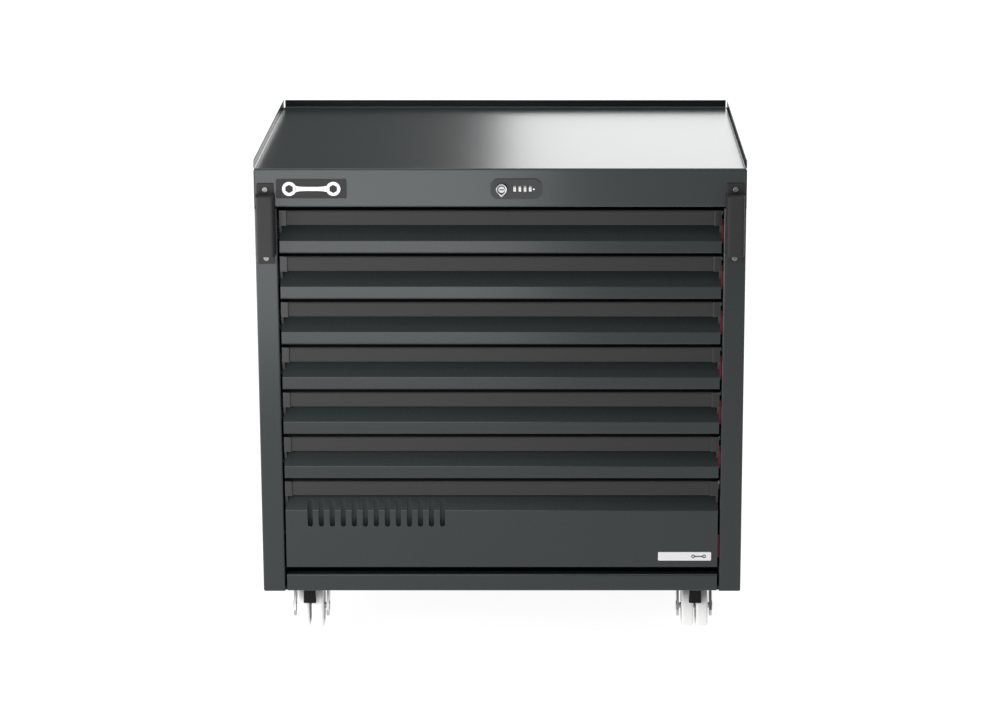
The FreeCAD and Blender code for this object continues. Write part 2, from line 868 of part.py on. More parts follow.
def bumper_screw(z):
    face_y = front_y - bumper_tab_thickness
    head = rod_along(point(column_middle, face_y - screw_head_height, z), point(0, 1, 0),
                     screw_head_radius, screw_head_height)
    head = head.makeFillet(screw_head_round, [head.Edges[2]])
    shank = rod_along(point(column_middle, face_y, z), point(0, 1, 0), screw_shank_radius,
                      bumper_tab_thickness)
    recess = block(column_middle - screw_recess_radius, column_middle + screw_recess_radius,
                   face_y - screw_head_height - cutter_reach,
                   face_y - screw_head_height + screw_recess_depth,
                   z - screw_recess_slot, z + screw_recess_slot)
    turned = recess.copy()
    turned.rotate(point(column_middle, face_y, z), point(0, 1, 0), 90)
    return joined([head, shank]).cut(recess.fuse(turned))


def bumper_screws():
    screws = [bumper_screw(z) for z in bumper_screw_heights()]
    return Part.makeCompound(screws + [mirrored(screw) for screw in screws])


# ---- casters

def wheel_pair(x, y):
    # two equal wheels side by side on one axle
    half = wheel_width / 2
    rim = wheel_radius - wheel_rim_width
    wheels = []
    for side in [-1, 1]:
        middle = x + side * (wheel_gap / 2 + half)
        face = [(-half, axle_radius + axle_clearance), (-half, wheel_hub_radius),
                (-half + wheel_dish, wheel_hub_radius), (-half + wheel_dish, rim),
                (-half, rim), (-half, wheel_radius), (half, wheel_radius), (half, rim),
                (half - wheel_dish, rim), (half - wheel_dish, wheel_hub_radius),
                (half, wheel_hub_radius), (half, axle_radius + axle_clearance)]
        corners = [point(middle + a, y, wheel_radius + r) for a, r in face]
        radii = [0, 0, 0, 0, 0, wheel_shoulder, wheel_shoulder, 0, 0, 0, 0, 0]
        profile = outline(corners, radii)
        wheels.append(profile.revolve(point(middle, y, wheel_radius), point(1, 0, 0), 360))
    return Part.makeCompound(wheels)


def fork(x, pivot_y, front_of_pivot):
    # crown and two legs; the axle is in front of the pivot by the given distance
    half = fork_outer_width / 2
    y_axle = pivot_y - front_of_pivot
    crown_y0 = pivot_y - crown_front
    crown_y1 = pivot_y + crown_back
    crown = block(x - half, x + half, crown_y0, crown_y1, crown_z, crown_z + crown_thickness)
    foot = wheel_radius - leg_below_axle
    straight_z = foot + leg_end_radius + leg_straight
    leg = [point(x - half, crown_y0, crown_z + crown_thickness),
           point(x - half, y_axle - leg_half_width, straight_z),
           point(x - half, y_axle - leg_half_width, foot), point(x - half, y_axle + leg_half_width, foot),
           point(x - half, y_axle + leg_half_width, straight_z),
           point(x - half, crown_y1, crown_z + crown_thickness)]
    radii = [0, 0, leg_end_radius, leg_end_radius, 0, 0]
    left = prism(leg, radii, point(fork_wall, 0, 0))
    right = left.copy()
    right.translate(point(fork_outer_width - fork_wall, 0, 0))
    hole = rod_along(point(x - half - cutter_reach, y_axle, wheel_radius), point(1, 0, 0),
                     axle_radius + axle_clearance, fork_outer_width + 2 * cutter_reach)
    return joined([crown, left, right]).cut(hole)


def axle(x, y):
    half = fork_outer_width / 2
    shank = rod_along(point(x - half, y, wheel_radius), point(1, 0, 0), axle_radius, fork_outer_width)
    heads = []
    for start in [x - half - axle_head, x + half]:
        heads.append(rod_along(point(start, y, wheel_radius), point(1, 0, 0), axle_head_radius, axle_head))
    return joined([shank] + heads)


def swivel_fork(x):
    pivot_y = front_y + caster_pivot_setback
    hinge_y = pivot_y - pedal_hinge_ahead
    frame = fork(x, pivot_y, caster_trail)
    reach = pedal_width / 2 + ear_gap
    ears = []
    for side in [-1, 1]:
        x0 = x + side * reach
        x1 = x + side * (reach + ear_width)
        ears.append(block(x0, x1, hinge_y - pedal_barrel_radius, pivot_y - crown_front + ear_on_crown,
                          pedal_hinge_z - pedal_barrel_radius + ear_rise, crown_z + crown_thickness))
    pin = rod_along(point(x - reach - ear_width, hinge_y, pedal_hinge_z), point(1, 0, 0),
                    pedal_pin_radius, 2 * (reach + ear_width))
    neck = rod_along(point(x, pivot_y, crown_z), point(0, 0, 1), race_radius,
                     plate_z - race_clearance - crown_z)
    return Part.makeCompound([joined([frame] + ears + [pin, neck]), axle(x, pivot_y - caster_trail)])


def rear_forks():
    y = rear_y - rear_axle_setback
    frame = fork(caster_x, y, 0)
    neck = rod_along(point(caster_x, y, crown_z), point(0, 0, 1), race_radius, plate_z - crown_z)
    pieces = [joined([frame, neck]), axle(caster_x, y)]
    return Part.makeCompound(pieces + [mirrored(piece) for piece in pieces])


def brake_pedal(x):
    # arm over the wheels with a broad tip turned down in front of them
    hinge_y = front_y + caster_pivot_setback - pedal_hinge_ahead
    half = pedal_width / 2
    barrel = rod_along(point(x - half, hinge_y, pedal_hinge_z), point(1, 0, 0), pedal_barrel_radius,
                       pedal_width)
    tip_y = hinge_y - pedal_reach
    arm_z = pedal_hinge_z - pedal_thickness / 2
    arm = block(x - pedal_top_width / 2, x + pedal_top_width / 2, tip_y, hinge_y,
                arm_z, arm_z + pedal_thickness)
    low = pedal_hinge_z - pedal_tip_below
    high = arm_z + pedal_thickness
    tip = prism([point(x - half, tip_y, low), point(x + half, tip_y, low),
                 point(x + pedal_top_width / 2, tip_y, high), point(x - pedal_top_width / 2, tip_y, high)],
                [pedal_tip_round, pedal_tip_round, 0, 0], point(0, pedal_thickness, 0))
    bore = rod_along(point(x - pedal_width, hinge_y, pedal_hinge_z), point(1, 0, 0),
                     pedal_pin_radius + pedal_pin_clearance, 2 * pedal_width)
    return joined([barrel, arm, tip]).cut(bore)


def caster_centers():
    front = front_y + caster_pivot_setback
    rear = rear_y - rear_axle_setback
    places = []
    for y in [front, rear]:
        for x in [-caster_x, caster_x]:
            places.append((x, y))
    return places


def bolt_places(x, y):
    across = plate_width / 2 - plate_hole_inset
    along = plate_length / 2 - plate_hole_inset
    return [(x + i * across, y + j * along) for i in [-1, 1] for j in [-1, 1]]


def caster_plate(x, y):
    half_x = plate_width / 2
    half_y = plate_length / 2
    corners = [point(x - half_x, y - half_y, plate_z), point(x + half_x, y - half_y, plate_z),
               point(x + half_x, y + half_y, plate_z), point(x - half_x, y + half_y, plate_z)]
    plate = prism(corners, [plate_corner_radius] * 4, point(0, 0, plate_thickness))
    for bolt_x, bolt_y in bolt_places(x, y):
        hole = rod_along(point(bolt_x, bolt_y, plate_z - cutter_reach), point(0, 0, 1), plate_hole_radius,
                         plate_thickness + 2 * cutter_reach)
        plate = plate.cut(hole)
    return plate


def caster_plates():
    return Part.makeCompound([caster_plate(x, y) for x, y in caster_centers()])


def caster_bolt(x, y):
    head = rod_along(point(x, y, plate_z - bolt_head), point(0, 0, 1), bolt_head_radius, bolt_head)
    shank = rod_along(point(x, y, plate_z), point(0, 0, 1), bolt_shank_radius, plate_thickness)
    return joined([head, shank])


def caster_bolts():
    bolts = []
    for x, y in caster_centers():
        for bolt_x, bolt_y in bolt_places(x, y):
            bolts.append(caster_bolt(bolt_x, bolt_y))
    return Part.makeCompound(bolts)


def save_shell():
    panel = side_panel()
    save("right_side_panel", panel)
    save("left_side_panel", mirrored(panel))
    save("back_panel", back_panel())
    save("base_pan", base_pan())
    save("bottom_rail", bottom_rail())
    save("worktop", worktop())
    save("slide_posts", slide_posts())
    save("fixed_slides", fixed_slides())


def save_drawers():
    heights = drawer_heights()
    for index, bottom in enumerate(drawer_bottoms()):
        height = heights[index]
        name = "drawer_" + str(index + 1)
        front = drawer_front(bottom, height)
        if index == small_count:
            slots = [vent_cutter(bottom, number) for number in range(vent_count)]
            front = front.cut(Part.makeCompound(slots))
        save(name + "_front", front)
        save(name + "_box", drawer_box(bottom, height))
        save(name + "_handle", drawer_handle(bottom, height))
        save(name + "_slide_middle", middle_slides(bottom))


def save_lock():
    save("lock_plate", lock_plate())
    save("lock_barrel", lock_barrel())
    save("key_plug", key_plug())
    save("lock_rod", lock_rod())
    for index in range(code_count):
        save("code_wheel_" + str(index + 1), code_wheel(index))


def save_trim():
    save("badge_plate", badge_plate())
    save("label_plate", label_plate())
    bumper = corner_bumper()
    save("corner_bumpers", Part.makeCompound([bumper, mirrored(bumper)]))
    save("bumper_screws", bumper_screws())


def save_casters():
    for name, x in [("left", -caster_x), ("right", caster_x)]:
        save("front_" + name + "_fork", swivel_fork(x))
        save("front_" + name + "_pedal", brake_pedal(x))
        save("front_" + name + "_wheels", wheel_pair(x, axle_y))
        save("rear_" + name + "_wheels", wheel_pair(x, rear_y - rear_axle_setback))
    save("rear_forks", rear_forks())
    save("caster_plates", caster_plates())
    save("caster_bolts", caster_bolts())


os.makedirs("parts", exist_ok=True)
save_shell()
save_drawers()
save_lock()
save_trim()
save_casters()
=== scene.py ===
import math

import bpy
import numpy as np
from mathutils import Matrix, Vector


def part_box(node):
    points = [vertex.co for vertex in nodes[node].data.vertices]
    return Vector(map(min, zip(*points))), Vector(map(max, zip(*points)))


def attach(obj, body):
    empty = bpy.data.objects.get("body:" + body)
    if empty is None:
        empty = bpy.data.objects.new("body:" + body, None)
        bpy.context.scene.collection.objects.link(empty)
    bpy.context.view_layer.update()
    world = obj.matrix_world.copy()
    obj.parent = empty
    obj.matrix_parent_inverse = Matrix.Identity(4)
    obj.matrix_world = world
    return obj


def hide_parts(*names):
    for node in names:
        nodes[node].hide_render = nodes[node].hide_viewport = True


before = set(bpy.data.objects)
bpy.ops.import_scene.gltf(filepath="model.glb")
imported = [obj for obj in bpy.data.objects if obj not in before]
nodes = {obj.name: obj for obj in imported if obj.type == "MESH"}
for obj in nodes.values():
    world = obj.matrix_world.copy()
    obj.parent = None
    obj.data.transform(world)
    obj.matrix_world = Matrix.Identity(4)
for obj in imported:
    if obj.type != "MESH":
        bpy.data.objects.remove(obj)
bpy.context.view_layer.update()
scene = bpy.context.scene
print("frame loaded:", len(nodes), "nodes")


def corners(node):
    low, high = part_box(node)
    return np.array(low), np.array(high)


frontY = corners("drawer_1_front")[0][1]  # the plane of the drawer fronts


# small tools for material nodes

def addNode(tree, kind, sockets=None, **settings):
    # a node with its settings, and each named socket given a value or a link
    node = tree.nodes.new("ShaderNode" + kind)
    for name, value in settings.items():
        setattr(node, name, value)
    for name, value in (sockets or {}).items():
        if isinstance(value, bpy.types.NodeSocket):
            tree.links.new(value, node.inputs[name])
        else:
            node.inputs[name].default_value = value
    return node


def spread(tree, value, low, high):
    # a 0 to 1 value laid out between two numbers
    return addNode(tree, "MapRange", {"Value": value, "To Min": low, "To Max": high}).outputs["Result"]


def blendColour(tree, share, first, second):
    node = addNode(tree, "Mix", {0: share}, data_type="RGBA")
    for index, colour in ((6, first), (7, second)):
        if isinstance(colour, bpy.types.NodeSocket):
            tree.links.new(colour, node.inputs[index])
        else:
            node.inputs[index].default_value = (*colour, 1)
    return node.outputs[2]


# shared by every finish: noise detail, and how far the soft and hard normals part on an edge painted lighter
# (light wear and a painted highlight on its rounding)
finishLook = {"cloudDetail": 3.0, "grainDetail": 4.0, "edgeSamples": 4, "edgeStart": 0.98, "edgeFull": 0.8}


def makeFinish(name, look):
    # cloudy colour variation, a finer grain that also sets the roughness, edges painted lighter as light wear
    # and as a painted highlight on their rounding, and a bump from the same grain
    material = bpy.data.materials.new(name)
    material.use_nodes = True
    tree = material.node_tree
    shader = tree.nodes["Principled BSDF"]
    place = addNode(tree, "TexCoord").outputs["Object"]
    stretch = look.get("stretch", (1, 1, 1))
    stretched = addNode(tree, "Mapping", {"Vector": place, "Scale": stretch}).outputs[0]
    clouds = addNode(tree, "TexNoise", {"Vector": place, "Scale": look["cloudScale"],
                                        "Detail": finishLook["cloudDetail"]})
    grain = addNode(tree, "TexNoise", {"Vector": stretched, "Scale": look["grainScale"],
                                       "Detail": finishLook["grainDetail"]})
    colour = blendColour(tree, clouds.outputs["Fac"], look["colour"], look["cloudColour"])
    fleck = spread(tree, grain.outputs["Fac"], 0.0, look["grainShare"])
    colour = blendColour(tree, fleck, colour, look["grainColour"])
    rough = spread(tree, grain.outputs["Fac"], look["rough"][0], look["rough"][1])
    # rounded edges painted lighter: a painted highlight where light catches the bend, together with light
    # wear
    if look.get("edgeRadius"):
        soft = addNode(tree, "Bevel", {"Radius": look["edgeRadius"]}, samples=finishLook["edgeSamples"])
        hard = addNode(tree, "NewGeometry").outputs["Normal"]
        facing = addNode(tree, "VectorMath", {0: soft.outputs[0], 1: hard}, operation="DOT_PRODUCT")
        wornAndHighlit = addNode(tree, "MapRange", {"Value": facing.outputs["Value"], "To Min": 0.0,
                                          "To Max": look["edgeWearHighlightShare"], "From Min": finishLook["edgeStart"],
                                          "From Max": finishLook["edgeFull"]})
        colour = blendColour(tree, wornAndHighlit.outputs["Result"], colour, look["edgeWearHighlightColour"])
    bump = addNode(tree, "Bump", {"Strength": look["bump"], "Distance": look["bumpHeight"],
                                  "Height": grain.outputs["Fac"]})
    tree.links.new(colour, shader.inputs["Base Color"])
    tree.links.new(rough, shader.inputs["Roughness"])
    tree.links.new(bump.outputs[0], shader.inputs["Normal"])
    for socket, value in look.get("shader", {}).items():
        shader.inputs[socket].default_value = value
    return material


# one dictionary for each finish, colours linear

# the edge colour in each finish is a painted highlight on the rounded edges, mixed with light wear
paintLook = {
    "colour": (0.0165, 0.0215, 0.0228), "cloudColour": (0.0195, 0.0248, 0.0262), "cloudScale": 3.5,
    "grainColour": (0.025, 0.030, 0.032), "grainScale": 620.0, "grainShare": 0.35,
    "edgeWearHighlightColour": (0.085, 0.095, 0.098), "edgeRadius": 0.0012, "edgeWearHighlightShare": 0.5,
    "rough": (0.22, 0.30), "bump": 0.12, "bumpHeight": 0.00012,
    "shader": {"Specular IOR Level": 0.38},
}
worktopLook = dict(paintLook, colour=(0.0255, 0.0330, 0.0335), cloudColour=(0.0290, 0.0370, 0.0375),
                   grainColour=(0.039, 0.044, 0.045), rough=(0.19, 0.24), bump=0.06)
trayLook = dict(paintLook, colour=(0.032, 0.038, 0.040), cloudColour=(0.040, 0.046, 0.048),
                rough=(0.32, 0.45))
zincLook = {
    "colour": (0.48, 0.49, 0.50), "cloudColour": (0.40, 0.41, 0.43), "cloudScale": 60.0,
    "grainColour": (0.55, 0.55, 0.54), "grainScale": 240.0, "grainShare": 0.6,
    "edgeWearHighlightColour": (0.80, 0.80, 0.80), "edgeRadius": 0.0006, "edgeWearHighlightShare": 0.5,
    "rough": (0.30, 0.46), "bump": 0.10, "bumpHeight": 0.00008,
    "shader": {"Metallic": 1.0},
}
screwLook = dict(zincLook, colour=(0.19, 0.19, 0.19), cloudColour=(0.16, 0.16, 0.165),
                 grainColour=(0.22, 0.22, 0.22), edgeWearHighlightColour=(0.28, 0.28, 0.28), rough=(0.38, 0.50))
stripLook = {
    "colour": (0.036, 0.0358, 0.0355), "cloudColour": (0.040, 0.0398, 0.0395), "cloudScale": 4.0,
    "grainColour": (0.050, 0.049, 0.048), "grainScale": 900.0, "grainShare": 0.4, "stretch": (0.02, 1, 1),
    "edgeWearHighlightColour": (0.12, 0.12, 0.12), "edgeRadius": 0.0006, "edgeWearHighlightShare": 0.5,
    "rough": (0.42, 0.55), "bump": 0.15, "bumpHeight": 0.00005,
    "shader": {"Specular IOR Level": 0.08},
}
capLook = {
    "colour": (0.020, 0.0205, 0.021), "cloudColour": (0.024, 0.0245, 0.025), "cloudScale": 30.0,
    "grainColour": (0.034, 0.0345, 0.035), "grainScale": 1400.0, "grainShare": 0.35,
    "edgeWearHighlightColour": (0.13, 0.13, 0.13), "edgeRadius": 0.0005, "edgeWearHighlightShare": 0.6,
    "rough": (0.30, 0.42), "bump": 0.2, "bumpHeight": 0.00006,
    "shader": {"Specular IOR Level": 0.3},
}
bufferLook = dict(capLook, colour=(0.11, 0.003, 0.010), cloudColour=(0.13, 0.004, 0.012),
                  grainColour=(0.15, 0.006, 0.014), edgeWearHighlightColour=(0.20, 0.015, 0.02),
                  shader={"Specular IOR Level": 0.15})
rubberLook = {
    "colour": (0.028, 0.028, 0.0285), "cloudColour": (0.033, 0.033, 0.0335), "cloudScale": 25.0,
    "grainColour": (0.048, 0.048, 0.048), "grainScale": 1100.0, "grainShare": 0.5,
    "edgeWearHighlightColour": (0.075, 0.075, 0.075), "edgeRadius": 0.001, "edgeWearHighlightShare": 0.5,
    "rough": (0.55, 0.72), "bump": 0.35, "bumpHeight": 0.00015,
    "shader": {"Specular IOR Level": 0.15},
}
lockLook = dict(capLook, colour=(0.032, 0.034, 0.035), cloudColour=(0.037, 0.039, 0.040), rough=(0.40, 0.52))
chromeLook = {
    "colour": (0.26, 0.26, 0.265), "cloudColour": (0.22, 0.22, 0.225), "cloudScale": 90.0,
    "grainColour": (0.29, 0.29, 0.29), "grainScale": 500.0, "grainShare": 0.4,
    "rough": (0.20, 0.28), "bump": 0.04, "bumpHeight": 0.00004,
    "shader": {"Metallic": 1.0},
}
codeLook = {
    "colour": (0.80, 0.80, 0.79), "cloudColour": (0.74, 0.74, 0.73), "cloudScale": 150.0,
    "grainColour": (0.86, 0.86, 0.85), "grainScale": 1500.0, "grainShare": 0.4,
    "rough": (0.32, 0.42), "bump": 0.1, "bumpHeight": 0.00003,
}
inkLook = dict(capLook, colour=(0.012, 0.012, 0.012), cloudColour=(0.016, 0.016, 0.016),
               grainColour=(0.022, 0.022, 0.022), edgeWearHighlightShare=0.1)
badgeLook = dict(capLook, colour=(0.018, 0.018, 0.0185), cloudColour=(0.021, 0.021, 0.0215),
                 grainColour=(0.026, 0.026, 0.027), rough=(0.34, 0.44), shader={"Specular IOR Level": 0.18})
markLook = dict(codeLook, colour=(0.88, 0.88, 0.88), cloudColour=(0.83, 0.83, 0.83))
labelLook = {
    "colour": (0.74, 0.75, 0.76), "cloudColour": (0.68, 0.69, 0.70), "cloudScale": 12.0,
    "grainColour": (0.82, 0.82, 0.82), "grainScale": 800.0, "grainShare": 0.5, "stretch": (0.03, 1, 1),
    "edgeWearHighlightColour": (0.86, 0.86, 0.86), "edgeRadius": 0.0005, "edgeWearHighlightShare": 0.5,
    "rough": (0.32, 0.46), "bump": 0.12, "bumpHeight": 0.00004,
    "shader": {"Metallic": 0.35},
}
treadLook = {
    "colour": (0.93, 0.93, 0.92), "cloudColour": (0.90, 0.90, 0.89), "cloudScale": 40.0,
    "grainColour": (0.84, 0.84, 0.83), "grainScale": 900.0, "grainShare": 0.4,
    "edgeWearHighlightColour": (0.95, 0.95, 0.95), "edgeRadius": 0.0008, "edgeWearHighlightShare": 0.4,
    "rough": (0.38, 0.52), "bump": 0.2, "bumpHeight": 0.0001,
}
hubLook = dict(treadLook, colour=(0.92, 0.92, 0.92), cloudColour=(0.89, 0.89, 0.89), rough=(0.28, 0.38))
pedalLook = dict(capLook, colour=(0.0055, 0.006, 0.006), cloudColour=(0.007, 0.0075, 0.0075),
                 grainColour=(0.011, 0.0115, 0.0115), edgeWearHighlightColour=(0.03, 0.03, 0.03), rough=(0.38, 0.50),
                 shader={"Specular IOR Level": 0.12})

finishes = {
    "body_paint": paintLook, "drawer_paint": paintLook, "worktop_paint": worktopLook,
    "tray_steel": trayLook, "zinc_steel": zincLook, "zinc_screw": screwLook,
    "handle_strip": stripLook, "bumper_rubber": rubberLook, "lock_plastic": lockLook,
    "chrome": chromeLook, "code_plastic": codeLook, "badge_plastic": badgeLook,
    "label_metal": labelLook, "wheel_rubber": treadLook, "pedal_plastic": pedalLook,
    "cap_plastic": capLook, "buffer_plastic": bufferLook, "print_ink": inkLook,
    "mark_enamel": markLook, "hub_nylon": hubLook,
}
finish = {name: makeFinish(name + "_finish", look) for name, look in finishes.items()}
slotOf = {name: node.data.materials[0].name for name, node in nodes.items()}
for name, node in nodes.items():
    node.data.materials[0] = finish[slotOf[name]]
print("finishes made:", len(finish))


def repaint(node, pick, finishName):
    # gives the faces whose middles pick() chooses a finish of their own
    mesh = nodes[node].data
    middles = np.empty(len(mesh.polygons) * 3)
    mesh.polygons.foreach_get("center", middles)
    x, y, z = middles.reshape(-1, 3).T
    slots = np.empty(len(mesh.polygons), dtype=np.int32)
    mesh.polygons.foreach_get("material_index", slots)
    mesh.materials.append(finish[finishName])
    slots[pick(x, y, z)] = len(mesh.materials) - 1
    mesh.polygons.foreach_set("material_index", slots)


# where one node holds several parts, each part is found by its place, and so is the keyway, whose walls are
# painted dark as shade
partPlaces = {"slideSide": 0.37125, "bufferSide": 0.379, "bufferBack": -0.270, "capInside": 0.36705,
              "camBehind": 0.021, "keywayFront": 0.0002, "keywayBack": 0.0035, "keywayHalf": 0.0009}


def onSlide(x, y, z):
    return abs(x) > partPlaces["slideSide"]


def onBuffer(x, y, z):
    return (x > partPlaces["bufferSide"]) & (y < partPlaces["bufferBack"])


def onCap(x, y, z):
    return abs(x) > partPlaces["capInside"]


def onCam(x, y, z):
    return y > frontY + partPlaces["camBehind"]


# faces on the walls of the keyway slot, to be painted dark as the shade inside it
def inKeyway(x, y, z):
    low, high = corners("key_plug")
    deep = y - low[1]
    level = abs(z - (low[2] + high[2]) / 2) < partPlaces["keywayHalf"]
    return (deep > partPlaces["keywayFront"]) & (deep < partPlaces["keywayBack"]) & level


for number in range(1, 8):
    repaint(f"drawer_{number}_box", onSlide, "zinc_steel")
    repaint(f"drawer_{number}_box", onBuffer, "buffer_plastic")
    repaint(f"drawer_{number}_handle", onCap, "cap_plastic")
repaint("key_plug", onCam, "zinc_steel")
# painted shade: the keyway walls get the near-black ink finish
repaint("key_plug", inKeyway, "print_ink")
print("shared nodes painted part by part")


# small tools for meshes

def gridFaces(rows, columns, wrapRows, wrapColumns):
    # one quad for each cell of a grid, closed round in either direction if asked
    down = np.arange(rows if wrapRows else rows - 1)
    along = np.arange(columns if wrapColumns else columns - 1)
    i, j = np.meshgrid(down, along, indexing="ij")
    nextI, nextJ = (i + 1) % rows, (j + 1) % columns
    return np.stack([i * columns + j, i * columns + nextJ, nextI * columns + nextJ, nextI * columns + j],
                    axis=-1).reshape(-1, 4)


def makePiece(name, grids, material, body):
    # grids are (points, wrapRows, wrapColumns). Equal points are merged, cells that fold to a
    # triangle lose a corner, and each grid is turned the right way by the volume that it encloses
    allPoints, allFaces, start = [], [], 0
    for points, wrapRows, wrapColumns in grids:
        rows, columns = points.shape[:2]
        flat = points.reshape(-1, 3)
        unique, index = np.unique(np.round(flat, 8), axis=0, return_inverse=True)
        faces = index.reshape(-1)[gridFaces(rows, columns, wrapRows, wrapColumns)]
        a, b, c, d = (unique[faces[:, k]] for k in range(4))
        volume = np.einsum("ij,ij->", a, np.cross(b, c)) + np.einsum("ij,ij->", a, np.cross(c, d))
        if volume < 0:
            faces = faces[:, ::-1]
        same = faces == np.roll(faces, -1, axis=1)
        allFaces += (faces[~same.any(axis=1)] + start).tolist()
        for k in range(4):
            folded = same[:, k] & (same.sum(axis=1) == 1)
            allFaces += (np.delete(faces[folded], k, axis=1) + start).tolist()
        allPoints.append(unique)
        start += len(unique)
    mesh = bpy.data.meshes.new(name)
    mesh.from_pydata(np.concatenate(allPoints).tolist(), [], allFaces)
    mesh.validate()
    mesh.shade_smooth()
    piece = bpy.data.objects.new(name, mesh)
    scene.collection.objects.link(piece)
    mesh.materials.append(finish[material])
    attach(piece, body)
    return piece


def roundedPath(points, radii, steps=6):
    # a flat path through the points, with each corner swept by a curve from one side to the other:
    # start*(1-t)^2 + corner*2t(1-t) + end*t^2
    points, reach = np.array(points, float), np.array(radii, float)[:, None]
    toBefore, toAfter = (np.roll(points, step, axis=0) - points for step in (1, -1))
    start = points + toBefore / np.linalg.norm(toBefore, axis=1)[:, None] * reach
    end = points + toAfter / np.linalg.norm(toAfter, axis=1)[:, None] * reach
    t = np.linspace(0, 1, steps)[None, :, None]
    swept = start[:, None] * (1 - t) ** 2 + points[:, None] * 2 * t * (1 - t) + end[:, None] * t ** 2
    return swept.reshape(-1, 2)


def resample(path, most):
    # extra points on long straight runs, none further apart than the given length
    gap = np.linalg.norm(np.diff(path, axis=0), axis=1)
    travelled = np.concatenate([[0], np.cumsum(gap)])
    extra = np.arange(0, travelled[-1], most)
    where = np.unique(np.concatenate([travelled, extra]))
    return np.stack([np.interp(where, travelled, path[:, k]) for k in range(2)], axis=1)


# wheels

wheelLook = {
    "width": 0.0212, "radius": 0.038, "shoulder": 0.005, "hubRadius": 0.013, "rimRadius": 0.026,
    "dish": 0.003, "dishSlope": 0.001, "bore": 0.00505, "treadEdge": 0.0292, "groove": 0.0006,
    "grooveWidth": 0.0008, "boreRound": 0.0003, "hubRound": 0.0008, "dishRound": 0.0009,
    "rimRound": 0.0005, "grooveRound": 0.0002, "ribCount": 5, "ribRise": 0.0017, "ribWidth": 0.3,
    "steps": 80,
}


def wheelGrid(centre, look):
    # a section in (across, radius) turned about the axle: x = across, y and z = radius times the
    # cosine and sine of the turn. Ribs lift the dish where a raised cosine of the turn is high
    half, slope, edge = look["width"] / 2, look["dishSlope"], look["treadEdge"]
    sunk = half - look["dish"]
    inner = [(half, look["bore"]), (half, look["hubRadius"]), (sunk, look["hubRadius"] + slope),
             (sunk, look["rimRadius"]), (half, look["rimRadius"] + slope), (half, edge),
             (half - look["groove"], edge + look["grooveWidth"] / 2), (half, edge + look["grooveWidth"]),
             (half, look["radius"])]
    radii = [look["boreRound"], look["hubRound"], look["dishRound"], look["dishRound"], look["rimRound"],
             look["grooveRound"], look["grooveRound"], look["grooveRound"], look["shoulder"]]
    section = inner + [(-a, r) for a, r in inner[::-1]]
    path = roundedPath(section, radii + radii[::-1])
    across, radius = path[:, 0][:, None], path[:, 1][:, None]
    turn = np.linspace(0, 2 * np.pi, look["steps"], endpoint=False)[None, :]
    dishMiddle = (look["hubRadius"] + look["rimRadius"]) / 2
    reach = (look["rimRadius"] - look["hubRadius"]) / 2
    inDish = np.clip(1 - ((radius - dishMiddle) / reach) ** 4, 0, 1)
    rib = np.clip((np.cos(look["ribCount"] * turn) - 1 + look["ribWidth"]) / look["ribWidth"], 0, 1)
    depth = half - abs(across)
    lift = np.minimum(look["ribRise"] * inDish * rib, depth)
    x = across + np.sign(across) * lift
    return np.stack([centre[0] + x + 0 * turn, centre[1] + radius * np.cos(turn),
                     centre[2] + radius * np.sin(turn)], axis=-1)


for side in ("left", "right"):
    for end in ("front", "rear"):
        node = f"{end}_{side}_wheels"
        low, high = corners(node)
        middle = (low + high) / 2
        offset = (high[0] - low[0] - wheelLook["width"]) / 2
        grids = [(wheelGrid(middle + [sign * offset, 0, 0], wheelLook), True, True) for sign in (-1, 1)]
        piece = makePiece(f"{end}_{side}_wheel_pair", grids, "wheel_rubber", f"{end}_{side}_wheel")
        piece.data.materials.append(finish["hub_nylon"])
        points = np.empty(len(piece.data.polygons) * 3)
        piece.data.polygons.foreach_get("center", points)
        away = np.hypot(points[1::3] - middle[1], points[2::3] - middle[2])
        piece.data.polygons.foreach_set("material_index", (away < wheelLook["treadEdge"]).astype(np.int32))
        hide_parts(node)
print("wheels turned")


# rubber corner bumpers

bumperLook = {
    "width": 0.0338, "headTab": 0.0196, "footTab": 0.0164, "tabThickness": 0.003, "tabInset": 0.002,
    "flare": 0.0008, "draft": 0.0026, "squareness": 9.0, "tabRound": 0.0012, "tabCorner": 0.0025,
    "endRound": 0.0024, "across": 40, "most": 0.004,
}


def bumperGrid(low, high, look):
    # the side outline (height, proud) is carried across: x = half width times a rounded-square
    # cosine, y = proud times a rounded-square sine in front and 0 behind, so the back stays flat.
    # The width narrows towards the nose by the draft, and on the two tabs by their inset
    middle, half = (low[0] + high[0]) / 2, (high[0] - low[0]) / 2
    back, proud = high[1], high[1] - low[1]
    thin, foot, head = look["tabThickness"], low[2] + look["footTab"], high[2] - look["headTab"]
    side = [(low[2], 0), (low[2], thin), (foot, thin), (foot, proud),
            (head, proud), (head, thin), (high[2], thin), (high[2], 0)]
    small, large = look["tabRound"], look["endRound"]
    path = resample(roundedPath(side, [0, small, small, large, large, small, small, 0]), look["most"])
    height, depth = path[:, 0][:, None], path[:, 1][:, None]
    turn = np.linspace(0, 2 * np.pi, 2 * look["across"], endpoint=False)[None, :]
    power = 2 / look["squareness"]
    sideways = np.sign(np.cos(turn)) * abs(np.cos(turn)) ** power
    forward = np.where(np.sin(turn) > 0, abs(np.sin(turn)) ** power, 0)
    taper = 1 - look["draft"] / half * depth / proud * forward
    nearEnd = np.minimum(height - low[2], high[2] - height)
    corner = np.clip(1 - nearEnd / look["tabCorner"], 0, 1)
    onTab = 1 - np.clip((depth - thin) / look["flare"], 0, 1)
    width = half * taper - look["tabCorner"] * (1 - np.sqrt(1 - corner ** 2)) - look["tabInset"] * onTab
    return np.stack([middle + sideways * width, back - depth * forward, height + 0 * turn], axis=-1)


